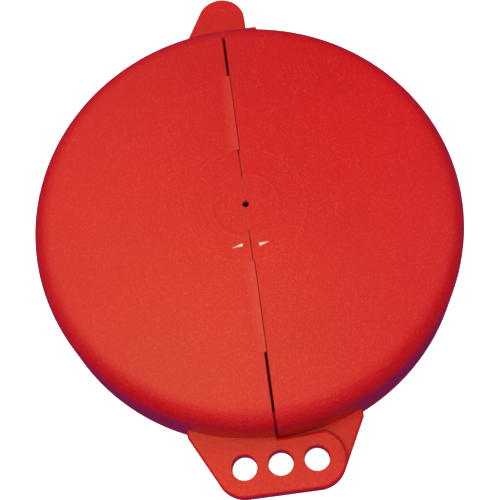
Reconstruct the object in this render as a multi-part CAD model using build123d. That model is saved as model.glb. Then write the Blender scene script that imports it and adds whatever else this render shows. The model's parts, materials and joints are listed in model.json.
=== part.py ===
from build123d import *
import math
import os

# Lockout cover for a gate valve's handwheel: a shallow domed drum in two halves.
# The halves turn on a pivot at an ear on the rim, and lock with overlapping shackle plates.
# Millimetres. The drum's axis is Z, its rear face is z = 0 and its domed face is up.
# The seam between the halves is the plane x = 0; the shackle plates are at -Y, the ears at +Y.

# Drum
DRUM_RADIUS = 88.0
WALL = 2.5
EDGE_HEIGHT = 35.0
DOME_CHORD_RADIUS = 79.2
DOME_RISE = 7.7
EDGE_RADIUS = 10.0
FOOT_RADIUS = 1.5
INNER_FOOT_RADIUS = 2.0
STEM_RADIUS = 38.0
STEM_BEAD_WIDTH = 2.5
STEM_BEAD_HEIGHT = 2.5
EJECTOR_RADIUS = 2.5
EJECTOR_DEPTH = 0.2
EJECTOR_CIRCLE = 62.0
EJECTOR_STEP_DEG = 45.0

# Seam and its lap
SEAM_GAP = 0.9
SEAM_EDGE_RADIUS = 0.4
LAP_START = 24.0
LAP_END = 60.0
LIP_WIDTH = 4.2
LIP_EDGE = 0.34
LIP_TILT_DEG = 8.0
TONGUE_REACH = 4.0
TONGUE_ROOT = 2.5
TONGUE_THICKNESS = 1.4
RELIEF_MARGIN = 1.0
WALL_TONGUE_TOP = 31.0
REAR_TONGUE_START = 42.0
CLEARANCE = 0.3

# Knock-out centre
KNOCKOUT_RADIUS = 24.0
KNOCKOUT_THICKNESS = 1.5
KNOCKOUT_GAP = 0.06
GROOVE_START = 11.0
GROOVE_WIDTH = 0.5
GROOVE_DEPTH = 1.1
BEAD_RADIUS = 13.4
BEAD_WIDTH = 2.2
BEAD_RISE = 0.08
CENTRE_HOLE_RADIUS = 1.4
PIP_LENGTH = 4.6
PIP_RADIUS = 1.0
PIP_TIP_RADIUS = 0.6
PIP_ROUND = 0.4
PIP_RISE = 0.5
PIP_X = 5.4
PIP_Y = -17.2
PIP_TURN_DEG = 10.0

# Ribs inside the dome
RIB_THICKNESS = 1.6
RIB_DEPTH = 2.5
RIB_ROOT = 0.2
RIB_STEP_DEG = 30.0
RIB_RING_RADIUS = 27.0
RIB_OUTER_RADIUS = 80.0

# Shackle plates and ears
PLATE_THICKNESS = 3.2
UPPER_PLATE_TOP = 13.5
PLATE_REAR_EDGE_RADIUS = 0.4
TAB_EDGE_RADIUS = 1.4
TAB_FLANK_DEG = 27.5
TAB_Y = -98.4
TAB_RADIUS = 11.8
TAB_SHOULDER_X = 35.4
TAB_ROOT_Y = -75.0
SHACKLE_RADIUS = 5.0
SHACKLE_PITCH = 14.4
SHACKLE_EDGE = 0.3
SWING_CLEARANCE = 0.5
EAR_EDGE_RADIUS = 0.9
EAR_RADIUS = 10.4
EAR_FLANK_DEG = 28.5
EAR_SHOULDER_X = 14.9
EAR_SHOULDER_Y = 98.9
EAR_FOOT_X = 21.0
EAR_ROOT_Y = 83.5

# Pivot
PIVOT_Y = 102.5
POST_RADIUS = 3.5
POST_CLEARANCE = 0.05
PILOT_RADIUS = 1.3
PILOT_TOP_SKIN = 1.2
WASHER_RADIUS = 5.5
WASHER_THICKNESS = 1.0
WASHER_HOLE_RADIUS = 1.7
SCREW_RADIUS = 1.5
SCREW_TIP_CLEARANCE = 0.2
SCREW_HEAD_RADIUS = 3.0
SCREW_HEAD_HEIGHT = 2.2
DRIVE_WIDTH = 0.8
DRIVE_LENGTH = 3.4
DRIVE_DEPTH = 1.2

# Worked out from the above
UPPER_PLATE_BOTTOM = UPPER_PLATE_TOP - PLATE_THICKNESS
LOWER_PLATE_TOP = UPPER_PLATE_BOTTOM - CLEARANCE
LOWER_PLATE_BOTTOM = LOWER_PLATE_TOP - PLATE_THICKNESS
POST_BOTTOM = LOWER_PLATE_BOTTOM - CLEARANCE
DOME_RADIUS = (DOME_CHORD_RADIUS**2 + DOME_RISE**2) / (2 * DOME_RISE)
DOME_TOP = EDGE_HEIGHT + DOME_RISE
DOME_CENTRE_Z = DOME_TOP - DOME_RADIUS
EDGE_CENTRE_R = DRUM_RADIUS - EDGE_RADIUS
EDGE_CENTRE_Z = DOME_CENTRE_Z + math.sqrt((DOME_RADIUS - EDGE_RADIUS) ** 2 - EDGE_CENTRE_R**2)
EDGE_START_DEG = math.degrees(math.atan2(EDGE_CENTRE_Z - DOME_CENTRE_Z, EDGE_CENTRE_R))
TAB_SWING_RADIUS = PIVOT_Y + DRUM_RADIUS + SWING_CLEARANCE
EAR_SWING_RADIUS = PIVOT_Y - DRUM_RADIUS - CLEARANCE

LEFT = -1
RIGHT = 1
ENDS = (-1, 1)
FAR = 2 * DRUM_RADIUS
THROUGH = 5 * WALL
TOLERANCE = 0.01


def dome_z(r):
    """Height of the domed face at radius r."""
    return DOME_CENTRE_Z + math.sqrt(DOME_RADIUS**2 - r**2)


def block(x, y, z):
    """A box between the two values given for each axis."""
    size = (x[1] - x[0], y[1] - y[0], z[1] - z[0])
    middle = ((x[0] + x[1]) / 2, (y[0] + y[1]) / 2, (z[0] + z[1]) / 2)
    return Pos(*middle) * Box(*size)


def edges_at(edges, axis, place):
    """Those edges that lie wholly at one value along an axis."""
    return edges.filter_by_position(axis, place - TOLERANCE, place + TOLERANCE)


def side_block(side, seam, y=(-FAR, FAR), z=(-FAR, FAR)):
    """All the space on one side of the seam, starting at a distance from it."""
    return block(sorted((side * seam, side * FAR)), y, z)


def drum_solid(inset, bottom, foot):
    """The drum's outer form, moved inwards by inset, with a rounded foot."""
    wall = DRUM_RADIUS - inset
    dome = CenterArc((0, DOME_CENTRE_Z), DOME_RADIUS - inset, EDGE_START_DEG, 90 - EDGE_START_DEG)
    edge = CenterArc((EDGE_CENTRE_R, EDGE_CENTRE_Z), EDGE_RADIUS - inset, 0, EDGE_START_DEG)
    side = Line((wall, EDGE_CENTRE_Z), (wall, bottom + foot))
    corner = CenterArc((wall - foot, bottom + foot), foot, -90, 90)
    base = Line((wall - foot, bottom), (0, bottom))
    axis = Line((0, bottom), (0, DOME_TOP - inset))
    profile = make_face(Curve() + [dome, edge, side, corner, base, axis])
    return revolve(Plane.XZ * profile, Axis.Z)


def dome_ball(inset):
    """The ball whose top is the domed face, moved inwards by inset."""
    return Pos(0, 0, DOME_CENTRE_Z) * Sphere(DOME_RADIUS - inset)


def dome_layer(top_inset, bottom_inset):
    """The part of the dome's thickness between two insets."""
    return dome_ball(top_inset) - dome_ball(bottom_inset)


def ring(outer, inner, z):
    """A flat ring about the drum's axis."""
    height = z[1] - z[0]
    tube = Cylinder(outer, height) - Cylinder(inner, height)
    return Pos(0, 0, (z[0] + z[1]) / 2) * tube


def drum_ribs():
    """Ribs under the dome: one ring round the knock-out and spokes out to the wall."""
    under = dome_layer(WALL - RIB_ROOT, WALL + RIB_DEPTH)
    half = RIB_THICKNESS / 2
    tall = (EDGE_HEIGHT - WALL, DOME_TOP)
    shape = ring(RIB_RING_RADIUS + half, RIB_RING_RADIUS - half, tall)
    steps = round(360 / RIB_STEP_DEG)
    for step in range(steps):
        angle = step * RIB_STEP_DEG
        if angle % 180 == 90:
            continue
        spoke = block((RIB_RING_RADIUS, RIB_OUTER_RADIUS), (-half, half), tall)
        shape += Rot(0, 0, angle) * spoke
    return shape & under


def ejector_marks():
    """Shallow round marks that the mould's ejector pins leave in the rear flange."""
    mark = Pos(0, EJECTOR_CIRCLE, 0) * Cylinder(EJECTOR_RADIUS, 2 * EJECTOR_DEPTH)
    angles = [EJECTOR_STEP_DEG * step for step in range(round(360 / EJECTOR_STEP_DEG))]
    return [Rot(0, 0, angle) * mark for angle in angles if angle % 180 != 0]


def drum_shell():
    """The whole drum, hollow and open at its centre, front and rear."""
    shell = drum_solid(0, 0, FOOT_RADIUS) - drum_solid(WALL, WALL, INNER_FOOT_RADIUS)
    shell -= Cylinder(STEM_RADIUS, THROUGH)
    shell += ring(STEM_RADIUS + STEM_BEAD_WIDTH, STEM_RADIUS, (WALL / 2, WALL + STEM_BEAD_HEIGHT))
    shell += drum_ribs()
    shell -= Pos(0, 0, DOME_TOP) * Cylinder(KNOCKOUT_RADIUS, THROUGH)
    for mark in ejector_marks():
        shell -= mark
    return shell


def flank_point(centre, radius, flank_deg, side, away):
    """Where a round plate end meets its straight flank; away is -1 towards -Y, 1 towards +Y."""
    flank = math.radians(flank_deg)
    return (centre[0] + side * radius * math.cos(flank), centre[1] + away * radius * math.sin(flank))


def tab_outline(side):
    """Shackle plate of one half: a row of rounds, with a flank out to a shoulder by the wall."""
    end = (side * SHACKLE_PITCH, TAB_Y)
    tangent = flank_point(end, TAB_RADIUS, TAB_FLANK_DEG, side, -1)
    rise = (side * TAB_SHOULDER_X - tangent[0]) * side / math.tan(math.radians(TAB_FLANK_DEG))
    shoulder = (side * TAB_SHOULDER_X, tangent[1] + rise)
    root = (side * TAB_SHOULDER_X, TAB_ROOT_Y)
    web = make_face(Polyline(end, tangent, shoulder, root, (0, TAB_ROOT_Y), (0, TAB_Y), close=True))
    rounds = Pos(0, TAB_Y) * SlotCenterToCenter(2 * SHACKLE_PITCH, 2 * TAB_RADIUS)
    swing = Pos(0, PIVOT_Y) * Circle(TAB_SWING_RADIUS)
    other_side = Pos(-side * FAR / 2, 0) * Rectangle(FAR, 2 * FAR)
    return web + rounds - (swing & other_side)


def ear_flank(side):
    """The points of an ear's own side, from its round end to inside the drum's wall."""
    if side == RIGHT:
        side_top = (EAR_RADIUS, PIVOT_Y)
        side_foot = (EAR_RADIUS, EAR_SHOULDER_Y)
        shoulder = (EAR_SHOULDER_X, EAR_SHOULDER_Y)
        return [side_top, side_foot, shoulder, (EAR_FOOT_X, EAR_ROOT_Y)]
    tangent = flank_point((0, PIVOT_Y), EAR_RADIUS, EAR_FLANK_DEG, side, 1)
    foot_x = tangent[0] + side * (tangent[1] - EAR_ROOT_Y) * math.tan(math.radians(EAR_FLANK_DEG))
    return [tangent, (foot_x, EAR_ROOT_Y)]


def ear_outline(side):
    """Pivot ear of one half: a round end, with a flank to the wall on the half's own side."""
    flank = ear_flank(side)
    web = make_face(Polyline((0, PIVOT_Y), *flank, (0, EAR_ROOT_Y), close=True))
    neck_middle = (-side * EAR_RADIUS / 2, PIVOT_Y - EAR_SWING_RADIUS / 2)
    neck = Pos(*neck_middle) * Rectangle(EAR_RADIUS, EAR_SWING_RADIUS)
    neck &= Pos(0, PIVOT_Y) * Circle(EAR_SWING_RADIUS)
    return web + neck + Pos(0, PIVOT_Y) * Circle(EAR_RADIUS)


def shackle_holes():
    """Circles for the three holes that the shackles go through."""
    return [Pos(step * SHACKLE_PITCH, TAB_Y) * Circle(SHACKLE_RADIUS) for step in (-1, 0, 1)]


def plate(outline, bottom, edge_radius):
    """A plate of the outline with its outer edge rounded on both faces."""
    top = bottom + PLATE_THICKNESS
    solid = extrude(Pos(0, 0, bottom) * outline, PLATE_THICKNESS)
    solid = fillet(edges_at(solid.edges(), Axis.Z, top), edge_radius)
    return fillet(edges_at(solid.edges(), Axis.Z, bottom), PLATE_REAR_EDGE_RADIUS)


def fastening_plates(side, bottom):
    """The shackle plate and the ear of one half, outside the drum's wall."""
    top = bottom + PLATE_THICKNESS
    tab = plate(tab_outline(side), bottom, TAB_EDGE_RADIUS)
    for hole in shackle_holes():
        tab -= extrude(Pos(0, 0, bottom) * hole, PLATE_THICKNESS)
    rims = edges_at(tab.edges().filter_by(GeomType.CIRCLE), Axis.Z, top)
    rims = [rim for rim in rims if abs(rim.radius - SHACKLE_RADIUS) < TOLERANCE]
    tab = chamfer(rims, SHACKLE_EDGE)
    ear = plate(ear_outline(side), bottom, EAR_EDGE_RADIUS)
    inside = Pos(0, 0, bottom) * Cylinder(DRUM_RADIUS - WALL / 2, THROUGH)
    return tab - inside, ear - inside


def half_shell(side):
    """One half of the drum, without its plates, with its outer seam edges rounded."""
    seam_x = side * SEAM_GAP / 2
    half = drum_shell() & side_block(side, SEAM_GAP / 2)
    core = drum_solid(SEAM_EDGE_RADIUS / 2, SEAM_EDGE_RADIUS / 2, FOOT_RADIUS)
    seam_edges = edges_at(half.edges(), Axis.X, seam_x)
    outer_edges = [edge for edge in seam_edges if not core.is_inside(edge.position_at(0.5))]
    return fillet(outer_edges, SEAM_EDGE_RADIUS)


def both_ends(low, high):
    """The stretch between two distances from the drum's axis, on both sides of it."""
    return [tuple(sorted((end * low, end * high))) for end in ENDS]


def lap_lip():
    """Strip along the left half's seam that tilts up and closes the gap over the tongue."""
    start_x = LIP_EDGE - LIP_WIDTH
    hinge = (start_x, 0, dome_z(abs(start_x)))
    tilted = Pos(*hinge) * Rot(0, -LIP_TILT_DEG, 0) * Pos(*(-v for v in hinge)) * dome_ball(0)
    strip = tilted - dome_ball(WALL)
    tall = (EDGE_HEIGHT - WALL, DOME_TOP + WALL)
    bands = [block((start_x, LIP_EDGE), band, tall) for band in both_ends(LAP_START, LAP_END)]
    return strip & (bands[0] + bands[1])


def tongue(layer, root_layer, band, height):
    """A tongue of the right half: it lies inside the left half's shell and is rooted in its own."""
    reach = block((-TONGUE_REACH, TONGUE_ROOT), band, height)
    root = block((SEAM_GAP / 2 + SEAM_EDGE_RADIUS, TONGUE_ROOT), band, height)
    return (layer & reach) + (root_layer & root)


def drum_layer(outer, inner):
    """The part of the drum's thickness between two insets, open at the rear."""
    return drum_solid(outer, 0, FOOT_RADIUS) - drum_solid(inner, 0, FOOT_RADIUS)


def lap_tongues():
    """Tongues of the right half under the face, behind the wall and on the rear flange."""
    near = WALL + CLEARANCE
    deep = near + TONGUE_THICKNESS
    face_height = (EDGE_HEIGHT - 2 * WALL, DOME_TOP + WALL)
    rear_layer = block((-FAR, FAR), (-FAR, FAR), (near, deep))
    rear_root = block((-FAR, FAR), (-FAR, FAR), (WALL / 2, deep))
    inner_wall = DRUM_RADIUS - deep - INNER_FOOT_RADIUS
    shapes = []
    for band in both_ends(LAP_START + CLEARANCE, LAP_END):
        shapes.append(tongue(dome_layer(near, deep), dome_layer(WALL / 2, deep), band, face_height))
    for band in both_ends(inner_wall, DRUM_RADIUS):
        height = (deep, WALL_TONGUE_TOP)
        shapes.append(tongue(drum_layer(near, deep), drum_layer(WALL / 2, deep), band, height))
    for band in both_ends(REAR_TONGUE_START, inner_wall):
        shapes.append(tongue(rear_layer, rear_root, band, (0, deep)))
    return shapes


def pivot_post():
    """Post under the left ear that the right ear turns on."""
    height = UPPER_PLATE_BOTTOM - POST_BOTTOM + PLATE_THICKNESS / 2
    return Pos(0, PIVOT_Y, POST_BOTTOM + height / 2) * Cylinder(POST_RADIUS, height)


def pilot_hole():
    """Blind hole up the post for the screw; the ear's front stays closed."""
    top = UPPER_PLATE_TOP - PILOT_TOP_SKIN
    height = top - POST_BOTTOM
    return Pos(0, PIVOT_Y, POST_BOTTOM + height / 2) * Cylinder(PILOT_RADIUS, height)


def tongue_relief():
    """The space under the left half's seam edge that the ribs leave free for the tongues."""
    depth = dome_layer(WALL, WALL + RIB_DEPTH + CLEARANCE)
    reach = TONGUE_REACH + RELIEF_MARGIN
    return depth & block((-reach, 0), (-LAP_END, LAP_END), (0, DOME_TOP))


def left_shell():
    """Left half: upper shackle plate, upper ear with the pivot post, and the lap lip."""
    tab, ear = fastening_plates(LEFT, UPPER_PLATE_BOTTOM)
    shell = half_shell(LEFT) - tongue_relief() + lap_lip()
    return shell + tab + ear + pivot_post() - pilot_hole()


def right_shell():
    """Right half: lower shackle plate, lower ear with the pivot hole, and the lap tongues."""
    tab, ear = fastening_plates(RIGHT, LOWER_PLATE_BOTTOM)
    hole = Pos(0, PIVOT_Y, LOWER_PLATE_TOP) * Cylinder(POST_RADIUS + POST_CLEARANCE, THROUGH)
    shell = half_shell(RIGHT)
    for shape in lap_tongues():
        shell += shape
    return shell + tab + ear - hole


def ring_bead():
    """Low round bead on the centre disc, about the centre hole."""
    inner = BEAD_RADIUS - BEAD_WIDTH / 2
    outer = BEAD_RADIUS + BEAD_WIDTH / 2
    start = (inner, dome_z(inner))
    end = (outer, dome_z(outer))
    crown = ThreePointArc(start, (BEAD_RADIUS, dome_z(BEAD_RADIUS) + BEAD_RISE), end)
    root = Polyline(end, (BEAD_RADIUS, dome_z(BEAD_RADIUS) - BEAD_RISE), start)
    return revolve(Plane.XZ * make_face(Curve() + [crown, root]), Axis.Z)


def pip(side):
    """Raised bar on the centre disc that thins out away from the seam."""
    bar = fillet(Cone(PIP_RADIUS, PIP_TIP_RADIUS, PIP_LENGTH).edges(), PIP_ROUND)
    middle_z = dome_z(math.hypot(PIP_X, PIP_Y)) + PIP_RISE - PIP_RADIUS
    turn = Rot(0, 0, PIP_TURN_DEG) * Rot(0, side * 90, 0)
    return Pos(side * PIP_X, PIP_Y, middle_z) * turn * bar


def seam_groove():
    """Groove along the seam of the centre disc, from a distance out to the disc's rim."""
    half = GROOVE_WIDTH / 2
    strips = [block((-half, half), band, (0, FAR)) for band in both_ends(GROOVE_START, KNOCKOUT_RADIUS)]
    return strips[0] + strips[1] - dome_ball(GROOVE_DEPTH)


def knockout(side):
    """Half of the centre disc that is broken out for a rising stem."""
    bottom = dome_z(KNOCKOUT_RADIUS) - KNOCKOUT_THICKNESS
    face = dome_ball(0) & ring(KNOCKOUT_RADIUS, CENTRE_HOLE_RADIUS, (bottom, FAR))
    disc = face + ring_bead() + pip(side) - seam_groove()
    return disc & side_block(side, KNOCKOUT_GAP / 2)


def pivot_washer():
    """Flat washer that closes the post's end and holds the right ear on it."""
    washer = Cylinder(WASHER_RADIUS, WASHER_THICKNESS) - Cylinder(WASHER_HOLE_RADIUS, WASHER_THICKNESS)
    return Pos(0, PIVOT_Y, POST_BOTTOM - WASHER_THICKNESS / 2) * washer


def pivot_screw():
    """Pan-head screw, driven up into the post from the rear."""
    head_top = POST_BOTTOM - WASHER_THICKNESS
    tip = UPPER_PLATE_TOP - PILOT_TOP_SKIN - SCREW_TIP_CLEARANCE
    head = Cylinder(SCREW_HEAD_RADIUS, SCREW_HEAD_HEIGHT)
    head = fillet(head.edges().filter_by(GeomType.CIRCLE).sort_by(Axis.Z)[0], SCREW_HEAD_HEIGHT / 2)
    head = Pos(0, 0, head_top - SCREW_HEAD_HEIGHT / 2) * head
    shank = Pos(0, 0, (head_top + tip) / 2) * Cylinder(SCREW_RADIUS, tip - head_top)
    shank = chamfer(shank.edges().filter_by(GeomType.CIRCLE).sort_by(Axis.Z)[-1], SCREW_RADIUS / 2)
    drive = Box(DRIVE_WIDTH, DRIVE_LENGTH, 2 * DRIVE_DEPTH) + Box(DRIVE_LENGTH, DRIVE_WIDTH, 2 * DRIVE_DEPTH)
    drive = Pos(0, 0, head_top - SCREW_HEAD_HEIGHT) * drive
    return Pos(0, PIVOT_Y, 0) * (head + shank - drive)


pieces = {
    "left_shell": left_shell(),
    "right_shell": right_shell(),
    "left_knockout": knockout(LEFT),
    "right_knockout": knockout(RIGHT),
    "pivot_washer": pivot_washer(),
    "pivot_screw": pivot_screw(),
}

os.makedirs("parts", exist_ok=True)
for name, shape in pieces.items():
    export_step(shape, f"parts/{name}.step")
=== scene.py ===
import json
import math

import bpy
from mathutils import Matrix, Vector

# Looks of the handwheel lockout cover: moulded red plastic halves on a zinc plated screw.
# Everything is in metres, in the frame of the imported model: the drum's axis is Z, its rear
# face lies on z = 0, the shackle plates point to -Y and the pivot ears to +Y.

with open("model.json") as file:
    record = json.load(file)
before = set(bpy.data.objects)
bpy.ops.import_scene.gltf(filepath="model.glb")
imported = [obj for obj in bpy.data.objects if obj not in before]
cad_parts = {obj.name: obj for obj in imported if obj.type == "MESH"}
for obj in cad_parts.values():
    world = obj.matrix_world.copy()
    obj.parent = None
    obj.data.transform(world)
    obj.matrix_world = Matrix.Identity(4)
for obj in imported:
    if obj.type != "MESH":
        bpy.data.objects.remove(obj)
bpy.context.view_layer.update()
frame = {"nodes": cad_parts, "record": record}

# Sizes of the CAD part that the looks follow
DRUM_RADIUS = 0.088
EDGE_HEIGHT = 0.035
DOME_CHORD_RADIUS = 0.0792
DOME_RISE = 0.0077
DOME_RADIUS = (DOME_CHORD_RADIUS**2 + DOME_RISE**2) / (2 * DOME_RISE)
DOME_CENTRE_Z = EDGE_HEIGHT + DOME_RISE - DOME_RADIUS

# Camera, placed about a point just short of the drum's axis, at the height of the dome's edge
CAMERA_TARGET = Vector((-0.00075, -0.0167, EDGE_HEIGHT))
CAMERA_DISTANCE = 0.4681
CAMERA_ELEVATION = math.radians(69.91)
CAMERA_AZIMUTH = math.radians(1.06)
CAMERA_ROLL = math.radians(-8.76)
CAMERA_LENS_MM = 84.66

# Painted glints on the pips and painted sheen on the lap lip: bands of height over the dome
PIP_GLINT_BAND = (0.00010, 0.00038)
LIP_SHEEN_BAND = (0.00002, 0.00050)
LIP_PAINTED_SHEEN = 0.15
# Rubbed edges, lightened also as a painted edge highlight: the radius that counts as an edge
EDGE_MASK_RADIUS = 0.0005
EDGE_WEAR_AND_HIGHLIGHT = 0.55

# Floor, just below the part's rear face
FLOOR_SIDE = 12.0
FLOOR_DROP = 0.0002
FLOOR_GLOW = 1.0
FLOOR_GLOW_RADIUS = DRUM_RADIUS + 0.0015
FLOOR_COVER_REACH = 0.2

# Lights
LIGHT_DISTANCE = 1.2
FILL_SIZE = 0.8

# Colours, linear
PLASTIC_RED = (0.63, 0.0045, 0.0100, 1.0)
PLASTIC_DEEP_RED = (0.55, 0.0025, 0.0080, 1.0)
# Lighter red of rubbed plastic, used also for painted sheen on the lap lip and painted edge
# highlights
PLASTIC_WORN_AND_SHEEN = (0.68, 0.12, 0.090, 1.0)
# Near white of the painted glints on the knock-out's pips
PLASTIC_PAINTED_GLINT = (0.94, 0.76, 0.74, 1.0)
ZINC = (0.62, 0.63, 0.65, 1.0)
ZINC_DULL = (0.40, 0.41, 0.42, 1.0)
FLOOR_WHITE = (0.96, 0.96, 0.96, 1.0)
GLOW_WHITE = (1.0, 1.0, 1.0, 1.0)
SURROUND_ABOVE = (0.040, 0.025, 0.045, 1.0)
SURROUND_BELOW = (0.060, 0.030, 0.220, 1.0)
LIGHT_WHITE = (1.0, 1.0, 1.0)
LIGHT_YELLOW = (0.78, 0.92, 0.36)
LIGHT_AMBER = (1.0, 0.85, 0.36)


def add_node(tree, kind, **inputs):
    """A shader node with values set on its sockets by name."""
    node = tree.nodes.new(kind)
    for name, value in inputs.items():
        node.inputs[name.replace("_", " ")].default_value = value
    return node


def new_material(name):
    """A node material with only a surface shader, joined to its output."""
    material = bpy.data.materials.new(name)
    material.use_nodes = True
    tree = material.node_tree
    tree.nodes.clear()
    surface = tree.nodes.new("ShaderNodeBsdfPrincipled")
    output = tree.nodes.new("ShaderNodeOutputMaterial")
    tree.links.new(surface.outputs["BSDF"], output.inputs["Surface"])
    return material, tree, surface


def noise(tree, scale, detail=2.0, stretch=None, roughness=0.5):
    """Noise in the object's own coordinates; the scale is in features per metre."""
    place = tree.nodes.new("ShaderNodeTexCoord")
    texture = add_node(tree, "ShaderNodeTexNoise", Scale=scale, Detail=detail, Roughness=roughness)
    if stretch:
        mapping = tree.nodes.new("ShaderNodeMapping")
        mapping.inputs["Scale"].default_value = stretch
        tree.links.new(place.outputs["Object"], mapping.inputs["Vector"])
        tree.links.new(mapping.outputs["Vector"], texture.inputs["Vector"])
    else:
        tree.links.new(place.outputs["Object"], texture.inputs["Vector"])
    return texture.outputs["Fac"]


def remap(tree, value, low, high, to_low, to_high):
    """The value, clamped and stretched from one range to another."""
    node = add_node(tree, "ShaderNodeMapRange")
    node.inputs["From Min"].default_value = low
    node.inputs["From Max"].default_value = high
    node.inputs["To Min"].default_value = to_low
    node.inputs["To Max"].default_value = to_high
    tree.links.new(value, node.inputs["Value"])
    return node.outputs["Result"]


def mix_colour(tree, factor, first, second):
    """A colour between two colours or sockets."""
    node = tree.nodes.new("ShaderNodeMix")
    node.data_type = "RGBA"
    tree.links.new(factor, node.inputs["Factor"])
    for socket, value in (("A", first), ("B", second)):
        entry = [i for i in node.inputs if i.name == socket and i.type == "RGBA"][0]
        if isinstance(value, tuple):
            entry.default_value = value
        else:
            tree.links.new(value, entry)
    return [o for o in node.outputs if o.type == "RGBA"][0]


def combine(tree, operation, first, second):
    """Two values put together by an operation of the Math node."""
    node = tree.nodes.new("ShaderNodeMath")
    node.operation = operation
    tree.links.new(first, node.inputs[0])
    tree.links.new(second, node.inputs[1])
    return node.outputs["Value"]


def distance_from(tree, point):
    """The distance from a point in the object's own coordinates."""
    place = tree.nodes.new("ShaderNodeTexCoord")
    node = tree.nodes.new("ShaderNodeVectorMath")
    node.operation = "DISTANCE"
    node.inputs[1].default_value = point
    tree.links.new(place.outputs["Object"], node.inputs[0])
    return node.outputs["Value"]


def bump(tree, height, distance, strength=1.0, below=None):
    """A bump from a height, over another bump."""
    node = add_node(tree, "ShaderNodeBump", Strength=strength, Distance=distance)
    tree.links.new(height, node.inputs["Height"])
    if below:
        tree.links.new(below, node.inputs["Normal"])
    return node.outputs["Normal"]


def edges_worn_and_highlit(tree):
    """A mask of the part's edges, broken up by noise: rubbed plastic and a painted edge highlight.
    """
    rounded = add_node(tree, "ShaderNodeBevel", Radius=EDGE_MASK_RADIUS)
    place = tree.nodes.new("ShaderNodeNewGeometry")
    match = tree.nodes.new("ShaderNodeVectorMath")
    match.operation = "DOT_PRODUCT"
    tree.links.new(rounded.outputs["Normal"], match.inputs[0])
    tree.links.new(place.outputs["True Normal"], match.inputs[1])
    edge = remap(tree, match.outputs["Value"], 0.97, 0.80, 0.0, 1.0)
    patches = remap(tree, noise(tree, 350.0, 4.0, roughness=0.65), 0.40, 0.62, 0.0, EDGE_WEAR_AND_HIGHLIGHT)
    return combine(tree, "MULTIPLY", edge, patches)


def standing_proud(tree, band, most):
    """A mask that rises to most with the height over the dome, through a band of heights."""
    reach = distance_from(tree, (0.0, 0.0, DOME_CENTRE_Z))
    low, high = (DOME_RADIUS + height for height in band)
    return remap(tree, reach, low, high, 0.0, most)


def red_plastic(name, painted_pip_glints=False):
    """Moulded polypropylene: satin, finely grained, mottled, with scuffs and rubbed edges; the
    edges lightened also as painted highlight, with painted glints on pips or painted sheen on the
    lap lip.
    """
    material, tree, surface = new_material(name)
    clouds = remap(tree, noise(tree, 22.0, 3.0), 0.35, 0.70, 0.0, 0.6)
    colour = mix_colour(tree, clouds, PLASTIC_RED, PLASTIC_DEEP_RED)
    speckle = remap(tree, noise(tree, 900.0, 3.0, roughness=0.7), 0.42, 0.66, 0.0, 0.55)
    colour = mix_colour(tree, speckle, colour, PLASTIC_DEEP_RED)
    flecks = remap(tree, noise(tree, 1300.0, 2.0), 0.52, 0.74, 0.0, 0.26)
    colour = mix_colour(tree, flecks, colour, PLASTIC_WORN_AND_SHEEN)
    scuffs = noise(tree, 60.0, 6.0, stretch=(1.0, 9.0, 1.0), roughness=0.7)
    scuffed = remap(tree, scuffs, 0.66, 0.78, 0.0, 0.25)
    colour = mix_colour(tree, scuffed, colour, PLASTIC_WORN_AND_SHEEN)
    # Edges lightened: rubbed plastic, and also a painted highlight along the edges
    colour = mix_colour(tree, edges_worn_and_highlit(tree), colour, PLASTIC_WORN_AND_SHEEN)
    if painted_pip_glints:
        # Painted glints: the crests of the pips turned near white
        colour = mix_colour(tree, standing_proud(tree, PIP_GLINT_BAND, 1.0), colour, PLASTIC_PAINTED_GLINT)
    else:
        # Painted sheen: the raised lap lip lightened
        colour = mix_colour(tree, standing_proud(tree, LIP_SHEEN_BAND, LIP_PAINTED_SHEEN), colour, PLASTIC_WORN_AND_SHEEN)
    tree.links.new(colour, surface.inputs["Base Color"])
    uneven = remap(tree, noise(tree, 700.0, 4.0, roughness=0.6), 0.3, 0.7, 0.32, 0.39)
    tree.links.new(uneven, surface.inputs["Roughness"])
    waves = bump(tree, noise(tree, 60.0, 1.0), 0.0004, 0.05)
    grain = bump(tree, noise(tree, 1700.0, 3.0, roughness=0.7), 0.00022, 0.8, below=waves)
    tree.links.new(grain, surface.inputs["Normal"])
    surface.inputs["IOR"].default_value = 1.49
    return material


def zinc_plate():
    """Zinc plated steel: brushed by tumbling, with dull patches."""
    material, tree, surface = new_material("zinc_plated_steel")
    patches = remap(tree, noise(tree, 400.0, 3.0), 0.4, 0.65, 0.0, 1.0)
    colour = mix_colour(tree, patches, ZINC, ZINC_DULL)
    tree.links.new(colour, surface.inputs["Base Color"])
    uneven = remap(tree, noise(tree, 900.0, 3.0), 0.3, 0.7, 0.28, 0.45)
    tree.links.new(uneven, surface.inputs["Roughness"])
    grain = bump(tree, noise(tree, 2500.0, 2.0), 0.00003, 0.4)
    tree.links.new(grain, surface.inputs["Normal"])
    surface.inputs["Metallic"].default_value = 1.0
    return material


def dress_nodes():
    """Gives every CAD node the material of its slot; the knock-outs have painted glints on their
    pips.
    """
    knockout_plastic = red_plastic("red_polypropylene_knockout", painted_pip_glints=True)
    by_slot = {"shell_plastic": red_plastic("red_polypropylene"), "screw_steel": zinc_plate()}
    for part in frame["record"]["subparts"]:
        name = part["node"]
        material = knockout_plastic if name.endswith("knockout") else by_slot[part["material_slot"]]
        node = frame["nodes"][name]
        node.data.materials.clear()
        node.data.materials.append(material)


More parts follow.
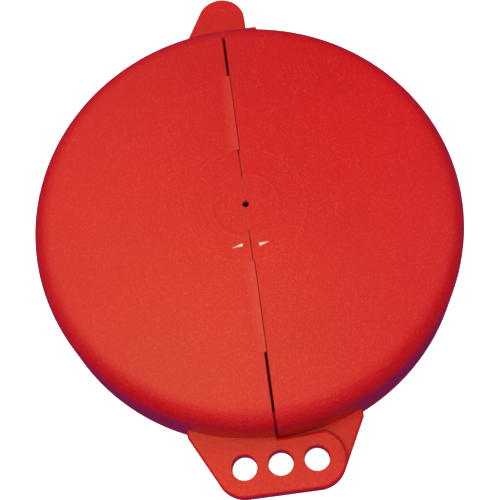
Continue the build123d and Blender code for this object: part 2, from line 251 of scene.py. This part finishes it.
def camera_matrix():
    """The camera's place: about the target by azimuth and elevation, then rolled."""
    back = Vector(
        (
            math.sin(CAMERA_AZIMUTH) * math.cos(CAMERA_ELEVATION),
            -math.cos(CAMERA_AZIMUTH) * math.cos(CAMERA_ELEVATION),
            math.sin(CAMERA_ELEVATION),
        )
    )
    level_right = Vector((0, 0, 1)).cross(back).normalized()
    level_up = back.cross(level_right)
    right = level_right * math.cos(CAMERA_ROLL) + level_up * math.sin(CAMERA_ROLL)
    up = back.cross(right)
    turn = Matrix((right, up, back)).transposed().to_4x4()
    return Matrix.Translation(CAMERA_TARGET + back * CAMERA_DISTANCE) @ turn


def add_camera():
    """The scene's camera."""
    data = bpy.data.cameras.new("camera")
    data.lens = CAMERA_LENS_MM
    data.clip_start = 0.01
    camera = bpy.data.objects.new("camera", data)
    camera.matrix_world = camera_matrix()
    bpy.context.scene.collection.objects.link(camera)
    bpy.context.scene.camera = camera


def add_softbox(name, direction, size, power, colour=LIGHT_WHITE, glossy=True):
    """A square soft light, aimed at the middle of the drum's rear face."""
    data = bpy.data.lights.new(name, "AREA")
    data.size = size
    data.energy = power
    data.color = colour
    light = bpy.data.objects.new(name, data)
    light.location = Vector(direction).normalized() * LIGHT_DISTANCE
    light.rotation_euler = Vector(direction).to_track_quat("Z", "Y").to_euler()
    light.visible_glossy = glossy
    bpy.context.scene.collection.objects.link(light)


def add_surround():
    """A dim surround that turns violet below the horizon."""
    world = bpy.data.worlds.new("surround")
    world.use_nodes = True
    tree = world.node_tree
    place = tree.nodes.new("ShaderNodeTexCoord")
    parts = tree.nodes.new("ShaderNodeSeparateXYZ")
    tree.links.new(place.outputs["Generated"], parts.inputs["Vector"])
    above = remap(tree, parts.outputs["Z"], -0.5, -0.1, 0.0, 1.0)
    colour = mix_colour(tree, above, SURROUND_BELOW, SURROUND_ABOVE)
    tree.links.new(colour, tree.nodes["Background"].inputs["Color"])
    bpy.context.scene.world = world


def add_fill(name, direction, power):
    """A white soft light that brightens the plastic and shows no reflection of itself."""
    add_softbox(name, direction, FILL_SIZE, power, glossy=False)


def add_lights():
    """A yellow key nearly overhead, a weaker amber one on the far left, and fills all round."""
    add_softbox("key", (-0.18, -0.12, 0.98), 0.5, 5.0, LIGHT_YELLOW)
    add_softbox("far_left_sheen", (-0.55, 0.50, 0.75), 0.7, 2.0, LIGHT_AMBER)
    add_fill("near_fill", (0.0, -0.9, 0.8), 4.8)
    add_fill("left_fill", (-0.9, 0.0, 0.8), 4.4)
    add_fill("right_fill", (0.9, 0.1, 1.0), 6.4)
    add_fill("back_fill", (-0.2, 0.9, 0.6), 2.4)


def floor_glow(tree):
    """How strongly the floor glows: fully beyond the drum and wherever nothing covers it."""
    reach = distance_from(tree, (0.0, 0.0, 0.0))
    beyond = remap(tree, reach, DRUM_RADIUS, FLOOR_GLOW_RADIUS, 0.0, FLOOR_GLOW)
    openness = add_node(tree, "ShaderNodeAmbientOcclusion", Distance=FLOOR_COVER_REACH)
    uncovered = remap(tree, openness.outputs["AO"], 0.2, 0.4, 0.0, FLOOR_GLOW)
    return combine(tree, "MAXIMUM", beyond, uncovered)


def floor_white():
    """Matt white that is lit from within like a light table, save where the part covers it."""
    material, tree, surface = new_material("floor_white")
    surface.inputs["Base Color"].default_value = FLOOR_WHITE
    surface.inputs["Roughness"].default_value = 0.9
    surface.inputs["Emission Color"].default_value = GLOW_WHITE
    tree.links.new(floor_glow(tree), surface.inputs["Emission Strength"])
    return material


def add_floor():
    """A plain white floor that sends no light back up to the object."""
    mesh = bpy.data.meshes.new("floor")
    half = FLOOR_SIDE / 2
    corners = [(x * half, y * half, -FLOOR_DROP) for x, y in ((-1, -1), (1, -1), (1, 1), (-1, 1))]
    mesh.from_pydata(corners, [], [(0, 1, 2, 3)])
    mesh.materials.append(floor_white())
    floor = bpy.data.objects.new("floor", mesh)
    floor.visible_diffuse = False
    floor.visible_glossy = False
    bpy.context.scene.collection.objects.link(floor)


add_camera()
add_surround()
add_lights()
add_floor()
dress_nodes()

bpy.context.scene.view_settings.view_transform = "Standard"
